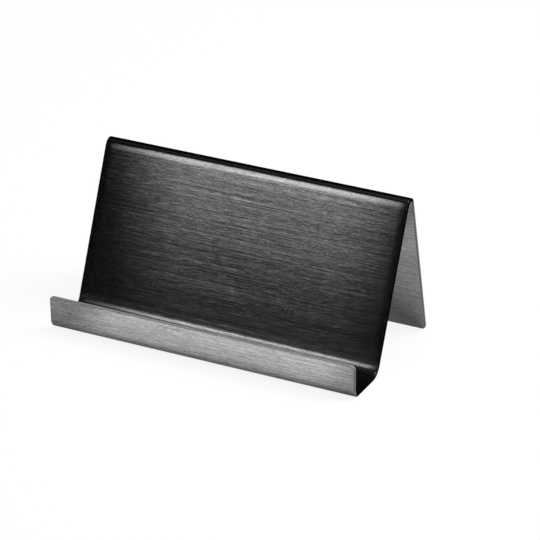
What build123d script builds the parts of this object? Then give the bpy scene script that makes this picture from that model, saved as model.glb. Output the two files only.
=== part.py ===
from build123d import *
import os
from math import acos, atan2, cos, hypot, isclose, radians, sin, tan

# A desk stand for business cards, folded from one blank of brushed stainless steel sheet.
# From front to back it has an upright lip, a flat tray that the cards stand on, a backrest that
# leans back to a rounded ridge, and a leg that comes down behind the backrest to the floor.
# X runs along the folds, Y from front to back and Z up. The stand is centred over the origin.

# Overall sizes, in millimetres
width = 90.0  # along the folds
depth = 50.0  # on the floor, from the foot of the lip to the back of the leg
height = 45.0  # floor to the top of the ridge

# The sheet
sheet = 1.0  # thickness
corner_radius = 1.2  # at the four corners of the blank

# The pocket for the cards, with angles in degrees from upright
slot_depth = 14.0  # on the tray, from the lip's inner face to the backrest
lip_height = 10.0  # floor to the lip's upper edge
lip_lean = 6.0  # outwards
backrest_lean = 20.0  # backwards

# Inside radii of the three bends
lip_bend = 2.0
tray_bend = 3.5
ridge_bend = 1.2


def mould_offset(lean):
    """Y distance from a bend's corner under the tray to its corner on top of the tray."""
    return sheet * (1 - sin(lean)) / cos(lean)


# The lip: its front face leans out over its foot, and its upper edge is cut square to the sheet
lip_angle = radians(lip_lean)
lip_top_z = lip_height - sheet * sin(lip_angle)
lip_overhang = lip_top_z * tan(lip_angle)
lip_top_y = -(depth + lip_overhang) / 2
lip_foot_y = lip_top_y + lip_overhang
rear_y = lip_foot_y + depth

# The backrest: its back face starts where it would meet the underside of the tray
backrest_angle = radians(backrest_lean)
slot_front_y = lip_foot_y + mould_offset(lip_angle)
backrest_foot_y = slot_front_y + slot_depth + mould_offset(backrest_angle)

# The centre of the ridge bend, with the backrest's back face tangent to the inside of the bend
ridge_z = height - sheet - ridge_bend
ridge_y = backrest_foot_y + ridge_z * tan(backrest_angle) + ridge_bend / cos(backrest_angle)

# The leg: its inside face is tangent to the same bend and ends on the floor, one thickness of
# leaning sheet in front of the rear. The thickness depends on the lean, so the lean is refined.
leg_angle = 0.0
for _ in range(8):
    leg_foot_y = rear_y - sheet * cos(leg_angle)
    leg_reach = leg_foot_y - ridge_y
    leg_angle = acos(ridge_bend / hypot(leg_reach, ridge_z)) - atan2(ridge_z, leg_reach)

# The fold line is the face of the sheet that ends up outside the lip and under the tray, behind
# the backrest and inside the leg. The peak is where backrest and leg would meet without a bend.
peak_z = (leg_foot_y - backrest_foot_y) / (tan(backrest_angle) + tan(leg_angle))
peak_y = backrest_foot_y + peak_z * tan(backrest_angle)
fold_points = [
    (lip_top_y, lip_top_z),
    (lip_foot_y, 0),
    (backrest_foot_y, 0),
    (peak_y, peak_z),
    (leg_foot_y, 0),
]
fold_radii = [lip_bend + sheet, tray_bend + sheet, ridge_bend]

with BuildPart() as folded_sheet:
    # The bent sheet, seen along the folds, then drawn out to the full width
    with BuildSketch(Plane.YZ):
        with BuildLine():
            fold_line = FilletPolyline(*fold_points, radius=fold_radii)
            offset(fold_line, amount=sheet, side=Side.LEFT, mode=Mode.ADD)
        make_face()
    extrude(amount=width / 2, both=True)

    # The blank's corners, at both ends of the lip's upper edge and of the leg's foot
    across_sheet = folded_sheet.edges().filter_by(lambda edge: isclose(edge.length, sheet, abs_tol=1e-6))
    fillet(across_sheet, corner_radius)

os.makedirs("parts", exist_ok=True)
export_step(folded_sheet.part, "parts/folded_sheet.step")
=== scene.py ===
from math import acos, atan2, cos, hypot, pi, radians, sin, tan

import bmesh
import bpy
from mathutils import Matrix, Quaternion, Vector


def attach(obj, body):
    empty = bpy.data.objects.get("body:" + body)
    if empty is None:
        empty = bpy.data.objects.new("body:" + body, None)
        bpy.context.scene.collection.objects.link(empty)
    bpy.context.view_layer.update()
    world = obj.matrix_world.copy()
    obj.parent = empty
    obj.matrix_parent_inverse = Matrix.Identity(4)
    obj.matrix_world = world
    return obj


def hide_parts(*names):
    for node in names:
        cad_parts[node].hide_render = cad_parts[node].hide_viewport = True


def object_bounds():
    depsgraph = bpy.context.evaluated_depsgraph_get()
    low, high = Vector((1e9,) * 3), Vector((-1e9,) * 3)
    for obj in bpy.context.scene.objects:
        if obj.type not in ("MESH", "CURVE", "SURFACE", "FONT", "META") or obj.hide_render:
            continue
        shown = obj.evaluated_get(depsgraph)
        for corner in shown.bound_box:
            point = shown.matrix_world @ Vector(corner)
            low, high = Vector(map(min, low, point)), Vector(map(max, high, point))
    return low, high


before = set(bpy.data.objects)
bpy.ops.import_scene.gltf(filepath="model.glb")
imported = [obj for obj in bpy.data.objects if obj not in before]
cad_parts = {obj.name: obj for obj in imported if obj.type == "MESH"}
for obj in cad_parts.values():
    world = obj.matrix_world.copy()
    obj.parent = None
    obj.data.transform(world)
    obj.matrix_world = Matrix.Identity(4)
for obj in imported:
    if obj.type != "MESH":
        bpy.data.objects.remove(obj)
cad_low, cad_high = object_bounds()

# The folded sheet. The stand is one blank of 1 mm stainless steel, cut with small round corners,
# bent three times on a press brake and deburred. From front to back it makes the lip, the tray,
# the backrest, the ridge and the leg, and nothing is fixed to it.
mm = 0.001
sheet = 1.0 * mm
width = cad_high.x - cad_low.x
height = cad_high.z
corner_radius = 1.2 * mm
slot_depth = 14.0 * mm
lip_height = 10.0 * mm
lip_lean = radians(6.0)
backrest_lean = radians(20.0)
lip_bend = 2.0 * mm
tray_bend = 3.5 * mm
ridge_bend = 1.2 * mm
ease_bend = 9.0 * mm
ease_turn = radians(9.0)


def mould_offset(lean):
    """Y distance from a bend's corner under the tray to its corner on top of the tray."""
    return sheet * (1 - sin(lean)) / cos(lean)


def outwards(lean):
    """The way that the front of a leaning stretch of the sheet faces."""
    return Vector((0, -cos(lean), sin(lean)))


# The line that is folded is the sheet's face outside the lip, under the tray, behind the backrest
# and inside the leg. Its bends turn about these centres, tangent to the flats on either side, and
# the backrest eases into the ridge bend on a wider bend, as sheet pressed over a tool does.
lip_top = Vector((0, cad_low.y, lip_height - sheet * sin(lip_lean)))
lip_foot_y = lip_top.y + lip_top.z * tan(lip_lean)
backrest_foot_y = lip_foot_y + mould_offset(lip_lean) + slot_depth + mould_offset(backrest_lean)
lip_turn = pi / 2 - lip_lean
tray_turn = pi / 2 - backrest_lean
lip_centre = Vector((0, lip_foot_y + (lip_bend + sheet) * tan(lip_turn / 2), lip_bend + sheet))
tray_centre = Vector((0, backrest_foot_y - (tray_bend + sheet) * tan(tray_turn / 2), tray_bend + sheet))
ridge_z = height - sheet - ridge_bend
ridge_setback = ridge_bend + (ease_bend - ridge_bend) * (1 - cos(ease_turn))
ridge_y = backrest_foot_y + ridge_z * tan(backrest_lean) + ridge_setback / cos(backrest_lean)
ridge_centre = Vector((0, ridge_y, ridge_z))
ease_centre = ridge_centre - (ease_bend - ridge_bend) * outwards(backrest_lean + ease_turn)

# The leg's lean follows from where its foot stands, which depends a little on the lean itself
leg_lean = 0.0
for _ in range(8):
    leg_foot_y = cad_high.y - sheet * cos(leg_lean)
    leg_reach = leg_foot_y - ridge_y
    leg_lean = acos(ridge_bend / hypot(leg_reach, ridge_z)) - atan2(ridge_z, leg_reach)
ridge_turn = pi - backrest_lean - ease_turn - leg_lean

# The lengths of the straight stretches between the bends
lip_up = Vector((0, -sin(lip_lean), cos(lip_lean)))
backrest_up = Vector((0, sin(backrest_lean), cos(backrest_lean)))
leg_down = Vector((0, sin(leg_lean), -cos(leg_lean)))
lip_flat = lip_top.z / cos(lip_lean) - (lip_bend + sheet) * tan(lip_turn / 2)
backrest_start = tray_centre - (tray_bend + sheet) * outwards(backrest_lean)
backrest_end = ease_centre + ease_bend * outwards(backrest_lean)
backrest_flat = (backrest_end - backrest_start).length
leg_start = ridge_centre + ridge_bend * Vector((0, cos(leg_lean), sin(leg_lean)))
leg_flat = leg_start.z / cos(leg_lean)
tray_flat = tray_centre.y - lip_centre.y


def select_edges(piece, wanted):
    """Selects the edges of the piece in edit mode whose middle meets a test."""
    bpy.ops.mesh.select_all(action="DESELECT")
    mesh = bmesh.from_edit_mesh(piece.data)
    for edge in mesh.edges:
        edge.select_set(wanted((edge.verts[0].co + edge.verts[1].co) / 2))
    bmesh.update_edit_mesh(piece.data)


def fold(centre, angle, steps):
    """Carries the selected edge round a bend."""
    bpy.ops.mesh.spin(steps=steps, angle=angle, center=centre, axis=(1, 0, 0))


def draw_out(way):
    """Carries the selected edge along a straight stretch."""
    bpy.ops.mesh.extrude_region_move(TRANSFORM_OT_translate={"value": way})


# The tray is drawn first, and the rest is folded from its front and back edges
bend_steps = 28
near = 0.001 * mm
bpy.ops.object.select_all(action="DESELECT")
bpy.ops.mesh.primitive_plane_add(size=1, location=(0, (lip_centre.y + tray_centre.y) / 2, 0))
folded_sheet = bpy.context.object
folded_sheet.name = "folded_sheet_finish"
folded_sheet.scale = (width, tray_flat, 1)
bpy.ops.object.transform_apply(location=True, rotation=True, scale=True)
bpy.ops.object.mode_set(mode="EDIT")
select_edges(folded_sheet, lambda middle: middle.y < lip_centre.y + near)
fold(lip_centre, lip_turn, bend_steps)
draw_out(lip_up * lip_flat)
select_edges(folded_sheet, lambda middle: middle.y > tray_centre.y - near)
fold(tray_centre, -tray_turn, bend_steps)
draw_out(backrest_up * backrest_flat)
fold(ease_centre, ease_turn, bend_steps // 2)
fold(ridge_centre, ridge_turn, 2 * bend_steps)
draw_out(leg_down * leg_flat)

# The blank's four corners are cut round
corner_steps = 8
bpy.ops.mesh.select_mode(type="VERT")
bpy.ops.mesh.select_all(action="DESELECT")
mesh = bmesh.from_edit_mesh(folded_sheet.data)
for vertex in mesh.verts:
    at_lip = vertex.co.y < lip_top.y + near
    at_foot = vertex.co.y > leg_foot_y - near
    vertex.select_set(at_lip or at_foot)
bmesh.update_edit_mesh(folded_sheet.data)
bpy.ops.mesh.bevel(affect="VERTICES", offset=corner_radius, segments=corner_steps, profile=0.5)

# The sheet's thickness stands on the folded line, which stays marked as its underside
bpy.ops.mesh.select_all(action="SELECT")
bpy.ops.mesh.normals_make_consistent(inside=False)
bpy.ops.object.mode_set(mode="OBJECT")
folded_sheet.vertex_groups.new(name="underside")
wall = folded_sheet.modifiers.new("wall", "SOLIDIFY")
wall.thickness = sheet
wall.offset = 1.0
wall.use_even_offset = True
wall.shell_vertex_group = "underside"
bpy.ops.object.modifier_apply(modifier=wall.name)

# Deburring rounds every cut edge
edge_break = 0.25 * mm
edge_steps = 4
cut_edge_turn = radians(60)
bpy.ops.object.mode_set(mode="EDIT")
bpy.ops.mesh.select_mode(type="EDGE")
bpy.ops.mesh.select_all(action="DESELECT")
bpy.ops.mesh.edges_select_sharp(sharpness=cut_edge_turn)
bpy.ops.mesh.bevel(affect="EDGES", offset=edge_break, segments=edge_steps, profile=0.5)

# Shearing and brushing leave the sheet's upper face rolled over a little along both ends. The
# underside, which the stand rests on, stays flat.
roll_width = 2.5 * mm
roll_depth = 0.03 * mm
roll_cuts = 10
for cut in range(1, roll_cuts + 1):
    for side in (-1, 1):
        cut_x = side * (width / 2 - edge_break - (roll_width - edge_break) * cut / roll_cuts)
        bpy.ops.mesh.select_all(action="SELECT")
        bpy.ops.mesh.bisect(plane_co=(cut_x, 0, 0), plane_no=(1, 0, 0), threshold=near)
bpy.ops.mesh.select_all(action="SELECT")
bpy.ops.uv.cube_project(cube_size=width)
bpy.ops.object.mode_set(mode="OBJECT")
for vertex in folded_sheet.data.vertices:
    from_end = width / 2 - abs(vertex.co.x)
    upper_share = 1 - sum(group.weight for group in vertex.groups)
    droop = roll_depth * max(0.0, 1 - from_end / roll_width) ** 2
    vertex.co -= Vector((0, vertex.normal.y, vertex.normal.z)).normalized() * droop * upper_share

# The bends shade as one smooth surface, and the flats stay true beside them
smooth_turn = radians(40)
bpy.ops.object.shade_smooth_by_angle(angle=smooth_turn)
true_flats = folded_sheet.modifiers.new("true_flats", "WEIGHTED_NORMAL")
true_flats.keep_sharp = True
bpy.ops.object.modifier_apply(modifier=true_flats.name)


def linear(hex_colour):
    """An sRGB hex colour as linear red, green, blue and alpha."""
    parts = [int(hex_colour[i:i + 2], 16) / 255 for i in (1, 3, 5)]
    return [p / 12.92 if p <= 0.04045 else ((p + 0.055) / 1.055) ** 2.4 for p in parts] + [1.0]


def add_node(tree, kind, inputs, **settings):
    """Adds a shader node with its settings; an input is a value or the socket that it is linked to."""
    node = tree.nodes.new(kind)
    for name, value in settings.items():
        setattr(node, name, value)
    for name, value in inputs.items():
        if isinstance(value, bpy.types.NodeSocket):
            tree.links.new(value, node.inputs[name])
        else:
            node.inputs[name].default_value = value
    return node


# Stainless steel with a dark tint, brushed along the folds: a dark mirror that smears reflections
# across the grain, with fine marks of several lengths along it. Real brush marks are about 0.05 mm
# wide, too fine to show, so they are drawn coarser. The tray's floor is painted darker, as painted
# shade between the lip and the backrest. The brush hardly reaches into the tray's bend up to the backrest,
# so the bend is duller.
streak_width = 0.15 * mm
streak_lengths = (1.0 * mm, 4.0 * mm, 40.0 * mm)
groove_width = 0.13 * mm
groove_lengths = (0.6 * mm, 3.0 * mm, 40.0 * mm)
groove_tilt = 0.26
flat_roughness = 0.118
tray_bend_roughness = 0.16
tray_bend_fade = 0.4 * mm
brushed = bpy.data.materials.new("black_tinted_stainless_brushed")
brushed.use_nodes = True
tree = brushed.node_tree
tree.nodes.clear()
place = add_node(tree, "ShaderNodeTexCoord", {}).outputs["Object"]


def brush_marks(tree, place, mark_width, mark_lengths, detail):
    """Marks of several lengths along the folds, averaged, from 0 to 1."""
    average = 0.0
    for count, mark_length in enumerate(mark_lengths, start=1):
        # Half a step aside, the grids of the lengths don't all meet at the stand's middle
        along_grain = add_node(tree, "ShaderNodeMapping", {
            "Vector": place,
            "Location": (0.5, 0, 0),
            "Scale": (1 / mark_length, 1 / mark_width, 1 / mark_width),
        }).outputs["Vector"]
        layer = add_node(tree, "ShaderNodeTexNoise", {
            "Vector": along_grain, "Scale": 1.0, "Detail": detail, "Roughness": 0.6,
        }).outputs["Fac"]
        average = add_node(tree, "ShaderNodeMix", {
            "Factor": 1 / count, "A": average, "B": layer,
        }).outputs["Result"]
    return average


def faded(tree, fades):
    """The product of several fades, each rising softly from 0 at one place to 1 at another."""
    product = 1.0
    for along, start, end in fades:
        fade = add_node(tree, "ShaderNodeMapRange", {
            "Value": along, "From Min": start, "From Max": end,
        }, interpolation_type="SMOOTHSTEP").outputs["Result"]
        product = add_node(tree, "ShaderNodeMath", {
            0: product, 1: fade,
        }, operation="MULTIPLY").outputs["Value"]
    return product


# The colour: light and dark streaks, with painted shade that darkens the tray between the lip and the
# backrest
streaks = brush_marks(tree, place, streak_width, streak_lengths, detail=2.0)
tone = add_node(tree, "ShaderNodeMapRange", {
    "Value": streaks, "From Min": 0.4, "From Max": 0.6,
}).outputs["Result"]
streaked = add_node(tree, "ShaderNodeMix", {
    "Factor": tone, "A": linear("#828282"), "B": linear("#cccccc"),
}, data_type="RGBA").outputs["Result"]
places = add_node(tree, "ShaderNodeSeparateXYZ", {"Vector": place}).outputs
tray_painted_shade = faded(tree, (
    (places["Z"], 2.2 * sheet, 1.05 * sheet),
    (places["Y"], lip_foot_y + 0.7 * sheet, lip_foot_y + 1.5 * sheet),
    (places["Y"], backrest_foot_y + 2 * sheet, backrest_foot_y + sheet),
))
colour = add_node(tree, "ShaderNodeMix", {
    "Factor": tray_painted_shade, "A": streaked, "B": linear("#8c8c8c"),
}, data_type="RGBA", blend_type="MULTIPLY").outputs["Result"]

# The gloss: duller inside the tray's bend, by the distance from the bend's axis
from_axis = add_node(tree, "ShaderNodeVectorMath", {
    0: place, 1: tray_centre,
}, operation="SUBTRACT").outputs["Vector"]
across_axis = add_node(tree, "ShaderNodeVectorMath", {
    0: from_axis, 1: (0, 1, 1),
}, operation="MULTIPLY").outputs["Vector"]
off_axis = add_node(tree, "ShaderNodeVectorMath", {
    0: across_axis,
}, operation="LENGTH").outputs["Value"]
roughness = add_node(tree, "ShaderNodeMapRange", {
    "Value": off_axis,
    "From Min": tray_bend,
    "From Max": tray_bend + tray_bend_fade,
    "To Min": tray_bend_roughness,
    "To Max": flat_roughness,
}, interpolation_type="SMOOTHSTEP").outputs["Result"]

# The relief: each groove tilts the surface a little across the grain
grooves = brush_marks(tree, place, groove_width, groove_lengths, detail=0.0)
facing = add_node(tree, "ShaderNodeNewGeometry", {}).outputs["Normal"]
across_grain = add_node(tree, "ShaderNodeVectorMath", {
    0: facing, 1: (1, 0, 0),
}, operation="CROSS_PRODUCT").outputs["Vector"]
tilt = add_node(tree, "ShaderNodeMapRange", {
    "Value": grooves, "To Min": -groove_tilt / 2, "To Max": groove_tilt / 2,
}).outputs["Result"]
tilted = add_node(tree, "ShaderNodeVectorMath", {
    0: across_grain, "Scale": tilt,
}, operation="SCALE").outputs["Vector"]
leaning = add_node(tree, "ShaderNodeVectorMath", {
    0: facing, 1: tilted,
}, operation="ADD").outputs["Vector"]
relief = add_node(tree, "ShaderNodeVectorMath", {
    0: leaning,
}, operation="NORMALIZE").outputs["Vector"]
grain = add_node(tree, "ShaderNodeTangent", {}, direction_type="UV_MAP", uv_map="UVMap").outputs["Tangent"]
steel = add_node(tree, "ShaderNodeBsdfPrincipled", {
    "Base Color": colour,
    "Metallic": 1.0,
    "Roughness": roughness,
    "Anisotropic": 0.9,
    "Anisotropic Rotation": 0.25,
    "Tangent": grain,
    "Normal": relief,
}).outputs["BSDF"]
add_node(tree, "ShaderNodeOutputMaterial", {"Surface": steel})
folded_sheet.data.materials.append(brushed)

# The sheared ends were never brushed, so they are dull, with the fine grain of the cut, and their
# colour is painted nearly black as painted shade
cut_grain = 0.3 * mm
sheared = bpy.data.materials.new("stainless_sheared_painted_shade")
sheared.use_nodes = True
tree = sheared.node_tree
tree.nodes.clear()
place = add_node(tree, "ShaderNodeTexCoord", {}).outputs["Object"]
torn = add_node(tree, "ShaderNodeTexNoise", {
    "Vector": place, "Scale": 1 / cut_grain, "Detail": 2.0,
}).outputs["Fac"]
colour = add_node(tree, "ShaderNodeMix", {
    "Factor": torn, "A": linear("#0c0c0c"), "B": linear("#161616"),
}, data_type="RGBA").outputs["Result"]
steel = add_node(tree, "ShaderNodeBsdfPrincipled", {
    "Base Color": colour, "Metallic": 1.0, "Roughness": 0.45, "Specular Tint": linear("#202020"),
}).outputs["BSDF"]
add_node(tree, "ShaderNodeOutputMaterial", {"Surface": steel})
folded_sheet.data.materials.append(sheared)

# The free edges, at the lip and at the leg, were ground smooth after tinting, so they show paler
# steel, matt and a little mottled along the edge
patch_length = 3.0 * mm
patch_width = 0.3 * mm
ground = bpy.data.materials.new("black_tinted_stainless_ground")
ground.use_nodes = True
tree = ground.node_tree
tree.nodes.clear()
place = add_node(tree, "ShaderNodeTexCoord", {}).outputs["Object"]
along_edge = add_node(tree, "ShaderNodeMapping", {
    "Vector": place, "Scale": (1 / patch_length, 1 / patch_width, 1 / patch_width),
}).outputs["Vector"]
patches = add_node(tree, "ShaderNodeTexNoise", {
    "Vector": along_edge, "Scale": 1.0, "Detail": 2.0,
}).outputs["Fac"]
colour = add_node(tree, "ShaderNodeMix", {
    "Factor": patches, "A": linear("#787878"), "B": linear("#b4b4b4"),
}, data_type="RGBA").outputs["Result"]
steel = add_node(tree, "ShaderNodeBsdfPrincipled", {
    "Base Color": colour, "Metallic": 1.0, "Roughness": 0.75,
}).outputs["BSDF"]
add_node(tree, "ShaderNodeOutputMaterial", {"Surface": steel})
folded_sheet.data.materials.append(ground)

# The cut faces and the rounding beside them have the finish of their cut, the sheared ends with their
# painted shade, and the rest is brushed
end_facing = 0.1
edge_facing = 0.25
finishes = folded_sheet.data.materials
for face in folded_sheet.data.polygons:
    on_lip = face.center.y < lip_foot_y + sheet
    on_leg = face.center.y > leg_start.y
    at_end = abs(face.normal.x) > end_facing
    by_lip_top = abs((face.center - lip_top).dot(lip_up)) < edge_break
    at_lip_top = by_lip_top and face.normal.dot(lip_up) > edge_facing
    at_foot = on_leg and face.normal.dot(leg_down) > edge_facing
    if at_lip_top or at_foot or (at_end and (on_lip or on_leg)):
        face.material_index = finishes.find(ground.name)
    elif at_end:
        face.material_index = finishes.find(sheared.name)
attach(folded_sheet, "root")
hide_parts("folded_sheet")

# The floor is a plain white table that keeps the stand's shadow and dims away from the stand. The
# camera sees it nearly all white. The metal mirrors a little of that white and mostly the table as
# it is lit, with painted shade on the table past both ends of the stand, which only the metal sees.
table_size = 6.0
white_near = 0.88
white_far = 0.15
near_distance = 0.3
far_distance = 1.0
white_in_metal = 0.14
dim_start = 29 * mm
dim_end = 44 * mm
painted_shade_share = 0.6
bpy.ops.object.select_all(action="DESELECT")
bpy.ops.mesh.primitive_plane_add(size=table_size)
floor = bpy.context.object
floor.name = "floor"
paper = bpy.data.materials.new("white_table")
paper.use_nodes = True
tree = paper.node_tree
tree.nodes.clear()
rays = add_node(tree, "ShaderNodeLightPath", {}).outputs
mirrored = add_node(tree, "ShaderNodeMath", {
    0: rays["Is Glossy Ray"], 1: rays["Is Transmission Ray"],
}, operation="MAXIMUM").outputs["Value"]
in_metal = add_node(tree, "ShaderNodeMath", {
    0: mirrored, 1: white_in_metal,
}, operation="MULTIPLY").outputs["Value"]
seen = add_node(tree, "ShaderNodeMath", {
    0: rays["Is Camera Ray"], 1: in_metal,
}, operation="MAXIMUM").outputs["Value"]
place = add_node(tree, "ShaderNodeTexCoord", {}).outputs["Object"]
distance = add_node(tree, "ShaderNodeVectorMath", {0: place}, operation="LENGTH").outputs["Value"]
nearness = add_node(tree, "ShaderNodeMapRange", {
    "Value": distance,
    "From Min": near_distance,
    "From Max": far_distance,
    "To Min": white_near,
    "To Max": white_far,
}, interpolation_type="SMOOTHSTEP").outputs["Result"]
whiteness = add_node(tree, "ShaderNodeMath", {
    0: seen, 1: nearness,
}, operation="MULTIPLY").outputs["Value"]
# Painted shade: past both ends of the stand, the table as the metal mirrors it is painted darker
along_table = add_node(tree, "ShaderNodeSeparateXYZ", {"Vector": place}).outputs["X"]
aside = add_node(tree, "ShaderNodeMath", {0: along_table}, operation="ABSOLUTE").outputs["Value"]
past_ends = add_node(tree, "ShaderNodeMapRange", {
    "Value": aside, "From Min": dim_start, "From Max": dim_end, "To Max": painted_shade_share,
}, interpolation_type="SMOOTHSTEP").outputs["Result"]
mirrored_painted_shade = add_node(tree, "ShaderNodeMath", {
    0: past_ends, 1: mirrored,
}, operation="MULTIPLY").outputs["Value"]
paper_colour = add_node(tree, "ShaderNodeMix", {
    "Factor": mirrored_painted_shade, "A": linear("#f4f4f4"), "B": linear("#101010"),
}, data_type="RGBA").outputs["Result"]
matt = add_node(tree, "ShaderNodeBsdfDiffuse", {"Color": paper_colour}).outputs["BSDF"]
white = add_node(tree, "ShaderNodeEmission", {
    "Color": linear("#ffffff"), "Strength": 1.0,
}).outputs["Emission"]
both = add_node(tree, "ShaderNodeMixShader", {"Fac": whiteness, 1: matt, 2: white}).outputs["Shader"]
add_node(tree, "ShaderNodeOutputMaterial", {"Surface": both})
floor.data.materials.append(paper)

# The studio has pale walls that darken upwards, and a dark drape hangs over the stand's left from
# front to back, a little paler at its top. From the camera, the flats and bends mirror the drape.
wall_foot_light = 0.3
wall_top_light = 0.1
drape_light = 0.002
drape_top_light = 0.045
drape_x = -0.37
drape_half_width = 0.14
drape_fade = 0.2
world = bpy.data.worlds.new("draped_studio")
world.use_nodes = True
tree = world.node_tree
way = add_node(tree, "ShaderNodeTexCoord", {}).outputs["Generated"]
ways = add_node(tree, "ShaderNodeSeparateXYZ", {"Vector": way}).outputs
from_drape = add_node(tree, "ShaderNodeMath", {
    0: ways["X"], 1: drape_x,
}, operation="SUBTRACT").outputs["Value"]
beside = add_node(tree, "ShaderNodeMath", {0: from_drape}, operation="ABSOLUTE").outputs["Value"]
bare = add_node(tree, "ShaderNodeMapRange", {
    "Value": beside, "From Min": drape_half_width, "From Max": drape_half_width + drape_fade,
}, interpolation_type="SMOOTHSTEP").outputs["Result"]
walls = add_node(tree, "ShaderNodeMapRange", {
    "Value": ways["Z"],
    "From Min": 0.0,
    "From Max": 0.9,
    "To Min": wall_foot_light,
    "To Max": wall_top_light,
}).outputs["Result"]
drape = add_node(tree, "ShaderNodeMapRange", {
    "Value": ways["Z"],
    "From Min": 0.85,
    "From Max": 0.93,
    "To Min": drape_light,
    "To Max": drape_top_light,
}, interpolation_type="SMOOTHSTEP").outputs["Result"]
strength = add_node(tree, "ShaderNodeMix", {
    "Factor": bare, "A": drape, "B": walls,
}).outputs["Result"]
tree.links.new(strength, tree.nodes["Background"].inputs["Strength"])
tree.nodes["Background"].inputs["Color"].default_value = linear("#ffffff")
bpy.context.scene.world = world


def add_soft_box(name, place, facing, size, radiance, lean=0.0):
    """A rectangular lamp at a place, turned towards a point; lean tips its top to its left."""
    lamp = bpy.data.lights.new(name, "AREA")
    lamp.shape = "RECTANGLE"
    lamp.size, lamp.size_y = size
    lamp.energy = radiance * pi * size[0] * size[1]
    box = bpy.data.objects.new(name, lamp)
    bpy.context.collection.objects.link(box)
    box.location = place
    turned = (Vector(place) - Vector(facing)).to_track_quat("Z", "Y")
    box.rotation_euler = (turned @ Quaternion((0, 0, 1), lean)).to_euler()
    return lamp


def standing(azimuth, distance, rise):
    """A place round the stand: azimuth 0 is in front of it and 90 degrees to its right."""
    turn = radians(azimuth)
    return Vector((sin(turn) * distance, -cos(turn) * distance, rise))


# A soft strip in front on the left gives the backrest and the lip their bright band. It leans about
# a point low on it, is narrower at its foot, and fades out towards its four edges.
strip_low = 0.068
strip_high = 0.460
strip_width = 0.145
strip_azimuth = -22.15
strip_distance = 0.325
strip_lean = radians(10)
lean_height = 0.1
foot_share = 0.28
foot_narrowing = 1.34
strip_middle = (strip_low + strip_high) / 2
strip_back = standing(strip_azimuth, 1.0, 0)
strip_aside = Vector((strip_back.y, -strip_back.x, 0)) * (strip_middle - lean_height) * tan(strip_lean)
strip_place = strip_back * strip_distance + strip_aside + Vector((0, 0, strip_middle))
strip = add_soft_box(
    "front_left_strip",
    place=strip_place,
    facing=strip_place - strip_back,
    size=(strip_width, strip_high - strip_low),
    radiance=1.6,
    lean=strip_lean,
)
strip.use_nodes = True
tree = strip.node_tree
across_lamp = add_node(tree, "ShaderNodeNewGeometry", {}).outputs["Parametric"]
sides = add_node(tree, "ShaderNodeSeparateXYZ", {"Vector": across_lamp}).outputs
upwards = sides["Y"]
narrowing = add_node(tree, "ShaderNodeMapRange", {
    "Value": upwards, "From Max": foot_share, "To Min": foot_narrowing, "To Max": 1.0,
}).outputs["Result"]
off_middle = add_node(tree, "ShaderNodeMath", {
    0: sides["X"], 1: 0.5,
}, operation="SUBTRACT").outputs["Value"]
sideways = add_node(tree, "ShaderNodeMath", {
    0: off_middle, 1: narrowing, 2: 0.5,
}, operation="MULTIPLY_ADD").outputs["Value"]
glow = faded(tree, (
    (upwards, 0.0, 0.465),
    (upwards, 1.0, 0.3),
    (sideways, 0.03, 0.31),
    (sideways, 1.0, 0.74),
))
tree.links.new(glow, tree.nodes["Emission"].inputs["Strength"])

# Three wider soft boxes light the stand from above, from the left and from behind on the right
add_soft_box(
    "overhead_box", place=(0.1, 0.05, 1.0), facing=(0.1, 0.05, 0), size=(0.4, 0.6), radiance=6.3,
)
add_soft_box(
    "left_box", place=standing(-95, 0.9, 0.6), facing=(0, 0, 0), size=(0.6, 0.8), radiance=1.0,
)
add_soft_box(
    "back_right_box", place=standing(122, 0.85, 0.95), facing=(0, 0, 0), size=(0.8, 0.6), radiance=8.6,
)

# The camera stands in front, to the right and a little above
camera_aim = Vector((7.455, 2.528, 18.329)) * mm
camera_azimuth = radians(24.156)
camera_elevation = radians(24.015)
camera_roll = radians(2.141)
camera_distance = 755.1 * mm
back = Vector((
    sin(camera_azimuth) * cos(camera_elevation),
    -cos(camera_azimuth) * cos(camera_elevation),
    sin(camera_elevation),
))
level = Vector((cos(camera_azimuth), sin(camera_azimuth), 0))
upright = back.cross(level)
right = level * cos(camera_roll) + upright * sin(camera_roll)
up = upright * cos(camera_roll) - level * sin(camera_roll)
camera_place = Matrix.Translation(camera_aim + back * camera_distance)
camera_turn = Matrix((right, up, back)).transposed().to_4x4()
camera = bpy.data.objects.new("camera", bpy.data.cameras.new("camera"))
bpy.context.collection.objects.link(camera)
camera.matrix_world = camera_place @ camera_turn
camera.data.sensor_width = 36.0
camera.data.lens = 186.1
bpy.context.scene.camera = camera
bpy.context.scene.view_settings.view_transform = "Standard"
